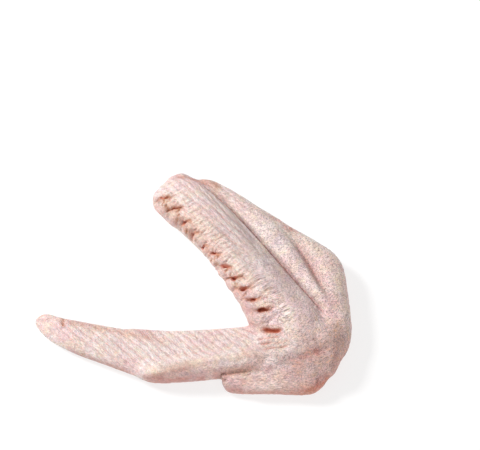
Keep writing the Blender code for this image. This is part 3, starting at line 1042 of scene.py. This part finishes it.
# %% Painter
class Painter:
    """The nodes of one material."""

    def __init__(self, name, colour):
        self.material = bpy.data.materials.new(name)
        self.material.use_nodes = True
        self.tree = self.material.node_tree
        self.shader = self.tree.nodes["Principled BSDF"]
        self.place = Socket(self.tree, self.tree.nodes.new("ShaderNodeTexCoord").outputs["Object"])
        self.colour = colour

    def node(self, kind, settings, values, output=0):
        """Any node: its type, its settings, what goes into it, and which output is wanted."""
        made = self.tree.nodes.new(kind)
        for name, value in settings.items():
            setattr(made, name, value)
        for name, value in values.items():
            plug(self.tree, made.inputs[name], value)
        return Socket(self.tree, made.outputs[output])

    def cloud(self, size, detail=2.0, roughness=0.5, distortion=0.0):
        """Noise with features of that size in millimetres."""
        values = {"Vector": self.place, "Scale": 1 / (size * MM), "Detail": detail}
        values.update(Roughness=roughness, Distortion=distortion)
        return self.node("ShaderNodeTexNoise", {}, values, "Fac")

    def streaks(self, heading, size, length):
        """Noise drawn out along a heading in the plan, with that width and length."""
        values = {"Vector": self.place, "Rotation": (0, 0, math.radians(heading))}
        values["Scale"] = (length * MM, size * MM, size * MM)
        drawn_out = self.node("ShaderNodeMapping", {"vector_type": "TEXTURE"}, values)
        return self.node("ShaderNodeTexNoise", {}, {"Vector": drawn_out, "Scale": 1, "Detail": 2}, "Fac")

    def cells(self, size):
        """Distance to the middle of the nearest cell of about that size."""
        values = {"Vector": self.place, "Scale": 1 / (size * MM)}
        return self.node("ShaderNodeTexVoronoi", {}, values, "Distance")

    def map(self, name):
        return self.node("ShaderNodeAttribute", {"attribute_name": name}, {}, "Fac")

    def spread(self, value, start, end):
        """0 at the start and 1 at the end, smooth between them."""
        settings = {"interpolation_type": "SMOOTHSTEP"}
        values = {"Value": value, "From Min": start, "From Max": end}
        return self.node("ShaderNodeMapRange", settings, values, "Result")

    def patches(self, start, end, *cloud):
        """Soft patches, cut out of a cloud."""
        return self.spread(self.cloud(*cloud), start, end)

    def clouded(self, name, least, more, *cloud):
        """A painted map made uneven by a cloud."""
        return (self.map(name) * (least + more * self.cloud(*cloud))).clamped()

    def change(self, way, share, colour):
        settings = {"data_type": "RGBA", "blend_type": way}
        self.colour = self.node("ShaderNodeMix", settings, {0: share, 6: self.colour, 7: colour}, 2)

    def layer(self, share, colour):
        """Lays a colour over the one so far."""
        self.change("MIX", share, colour)

    def shade(self, share, factors):
        """Multiplies red, green and blue of the colour so far by three factors."""
        self.change("MULTIPLY", share, factors)

    def to(self, name, value):
        plug(self.tree, self.shader.inputs[name], value)


print("Painter: one material and its colour so far")

# %% [markdown]
# ## Clouds of colour
#
# Raw duck skin is thin, so cream fat and pink flesh shine through. The ground is a cloud of these two, with
# patches of lilac, rose and yellow.

# %% Clouds of colour
CREAM = (0.83, 0.72, 0.69)
PINK = (0.79, 0.59, 0.59)
LILAC = (0.56, 0.45, 0.49)
PALE = (0.95, 0.88, 0.83)
ROSE = (0.64, 0.37, 0.34)
FAT = (0.82, 0.68, 0.50)

paint = Painter("raw_skin", CREAM)
paint.layer(paint.patches(0.38, 0.64, 11, 3, 0.55), PINK)
paint.layer(paint.patches(0.48, 0.68, 6) * (0.6 - 0.3 * paint.map("on_hand")), LILAC)
paint.layer(paint.patches(0.48, 0.72, 2.4, 1, 0.5, 1.0) * 0.24, ROSE)
paint.layer(paint.patches(0.50, 0.68, 5) * 0.35, FAT)
print("clouds:", len(paint.tree.nodes), "nodes")

# %% [markdown]
# ## The fine pattern
#
# Seen close, the skin is a tight pattern of light and dark specks a third of a millimetre wide. Noise and
# cells make it. Where the skin is pulled one way the specks turn into streaks, which four of the maps blend
# in. Light and dark specks are cut out of the same pattern.

# %% The fine pattern
SPECK = 0.34
STREAKS = (
    ("gathered", 0.7, GATHER_SLANT, 0.4, 3),
    ("drawn", 0.6, math.degrees(FOREARM_HEADING), 0.4, 4.5),
    ("on_hand", 0.6, ROW_SLANT, 0.34, 1.6),
    ("on_thumb", 0.5, 4, 0.36, 1.5),
)


def blend(share, first, second):
    """Between two patterns, as Mix does between two colours."""
    return first + share * (second - first)


fine = 0.18 + 0.7 * paint.cloud(SPECK, 2, 0.5, 0.3) - 0.14 * (paint.cells(1.0) - 0.5)
fine = blend(0.35, fine, paint.streaks(30, SPECK, 1.3))
for name, share, heading, size, length in STREAKS:
    fine = blend(paint.map(name) * share, fine, paint.streaks(heading, size, length))
light = paint.spread(fine, 0.50, 0.59)
dark = paint.spread(fine, 0.49, 0.40)
print("fine pattern:", len(paint.tree.nodes), "nodes")

# %% [markdown]
# ## The painted maps as colour
#
# Soft patches of yellow and lilac come first, 3 mm wide. Then the maps are laid over each other, from the
# pale ones to the strong ones. A cloud breaks most of them up, because a line that is equally strong all
# the way looks painted.

# %% The painted maps as colour
BLOOD_AND_SHADE = (0.50, 0.17, 0.13)
RUST = (0.52, 0.22, 0.11)
MUSCLE_AND_SHADE = (0.40, 0.31, 0.31)
TAN_AND_SHADE = (0.46, 0.27, 0.22)
OCHRE = (0.66, 0.40, 0.24)

paint.layer(light * 0.1, PALE)
paint.layer(paint.patches(0.50, 0.70, 3.0, 0) * 0.35, FAT)
paint.layer(paint.patches(0.48, 0.28, 2.6, 0) * (0.4 - 0.2 * paint.map("on_hand")), LILAC)
paint.layer(paint.map("pale") * 0.6, PALE)
paint.layer(paint.clouded("fat", 0.5, 1.0, 4) * 0.75, FAT)
# Painted shade in grey brown, partly dark muscle that shows through.
paint.layer(paint.clouded("muscle_and_shade", 0.6, 0.8, 3) * 0.6, MUSCLE_AND_SHADE)
paint.layer(paint.spread(paint.map("rows"), 0.5, 0.05) * 0.3, ROSE)
paint.layer(paint.map("bumps") * 0.2, PALE)
# Tan, partly the wrist's brown and partly painted shade.
paint.layer(paint.clouded("tan_and_shade", 0.5, 1.0, 2.6, 3, 0.6) * 0.6, TAN_AND_SHADE)
specks = paint.patches(0.54, 0.68, 1.4, 1, 0.5, 0.5) * (0.05 + paint.map("tan_and_shade"))
paint.layer(specks.clamped() * 0.6, OCHRE)
# Painted shade: rose laid over the hollows.
paint.layer(paint.spread(paint.map("hollow"), 0.55, 0.95) * 0.75, ROSE)
# Blood, and red painted shade on the sides turned from the key lamp.
paint.layer(paint.clouded("blood_and_shade", 0.45, 1.1, 2.2, 3) * 0.75, BLOOD_AND_SHADE)
paint.layer(paint.clouded("rust", 0.6, 0.8, 1.5, 3) * 0.8, RUST)
print("maps:", len(paint.tree.nodes), "nodes")

# %% [markdown]
# ## Light and dark specks, granules and pits
#
# The fine pattern is a change of brightness, so it multiplies the colour. The factors are a little warm,
# because equal ones would take the warmth out of the specks. On the heel come red granules, and last the
# pits, bright red at the rim of a hole and nearly black inside, which is painted shade.

# %% Specks, granules and pits
EMBER = (0.60, 0.20, 0.12)
PIT = (0.72, 0.13, 0.06)
PIT_SHADE = (0.14, 0.022, 0.012)
DIMMED = (0.50, 0.42, 0.41)
LIFTED = (1.49, 1.42, 1.41)

strength = 0.6 + 0.4 * paint.map("speckled")
paint.shade(dark * strength * (1 - 0.5 * paint.map("on_hand")), DIMMED)
paint.shade(light * strength * (1 - 0.2 * paint.map("on_hand")), LIFTED)
granules = paint.patches(0.46, 0.58, 0.8, 2, 0.6, 0.5) * paint.map("heel")
paint.layer(granules * 0.7, EMBER)
paint.layer(paint.map("pit"), PIT)
# Painted shade: the middle of each pit, nearly black.
paint.layer(paint.spread(paint.map("pit"), 0.5, 0.9) * 0.85, PIT_SHADE)
paint.to("Base Color", paint.colour)
print("colour done:", len(paint.tree.nodes), "nodes")

# %% [markdown]
# ## Moist and a little see-through
#
# Light goes a few millimetres into skin, and red goes deepest, so it comes out warmer. Subsurface
# scattering does that. The skin is moist and not wet, so its sheen is weak and a cloud breaks it up. The
# fine pattern is also its grain, as bump, because triangles that small would be far too many.

# %% Moist and a little see-through
GRAIN_HEIGHT = 0.6 * MM
LIGHT_REACH = 2 * MM

grain = 0.5 * paint.cloud(0.5, 2, 0.6) + 1.6 * fine
bump = {"Strength": 1.0, "Distance": GRAIN_HEIGHT, "Height": grain}
paint.to("Normal", paint.node("ShaderNodeBump", {}, bump))
paint.to("Roughness", 0.34 + 0.26 * paint.cloud(2.4))
paint.to("Subsurface Weight", 0.18)
paint.to("Subsurface Radius", (1, 0.35, 0.22))
paint.to("Subsurface Scale", LIGHT_REACH)
paint.to("Specular IOR Level", 0.35)
paint.to("Coat Weight", 0.1)
paint.to("Coat Roughness", 0.25)

skin.data.materials.clear()
skin.data.materials.append(paint.material)
skin.data.shade_smooth()
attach(skin, "root")
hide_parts("duck_wing")
print("raw skin:", len(paint.tree.nodes), "nodes")

# %% [markdown]
# ## The surface and the light
#
# A pale surface that glows a little, as a light table does, keeps the shadow soft. A key lamp from the
# upper left gives each muscle a bright and a shaded side. A weak warm lamp from the lower right and the
# white surroundings fill the rest.

# %% The surface and the light
SURFACE_SIZE = 3

bm = bmesh.new()
bmesh.ops.create_grid(bm, x_segments=1, y_segments=1, size=SURFACE_SIZE)
floor = new_thing("surface", bm)
white = Painter("white_surface", (0.3, 0.3, 0.3))
white.to("Base Color", white.colour)
white.to("Roughness", 0.8)
white.to("Specular IOR Level", 0.1)
white.to("Emission Color", (1.0, 1.0, 1.0))
white.to("Emission Strength", 0.72)
floor.data.materials.append(white.material)

world = bpy.data.worlds.new("studio")
world.use_nodes = True
surroundings = world.node_tree.nodes["Background"]
surroundings.inputs["Color"].default_value = (1, 1, 1, 1)
surroundings.inputs["Strength"].default_value = 0.45
bpy.context.scene.world = world


def lamp(name, place, size, power, tint=(1, 1, 1)):
    light = bpy.data.lights.new(name, "AREA")
    light.size = size
    light.energy = power
    light.color = tint
    thing = bpy.data.objects.new(name, light)
    thing.location = place
    thing.rotation_euler = Vector(place).to_track_quat("Z", "Y").to_euler()
    link(thing)


lamp("key", (-0.75, 0.35, 0.80), 0.28, 12.8)
lamp("fill", (0.45, -0.85, 0.40), 0.60, 2.8, (1.0, 0.86, 0.82))
bpy.context.scene.view_settings.view_transform = "Standard"
print("surface:", 2 * SURFACE_SIZE, "m wide, under 2 lamps")
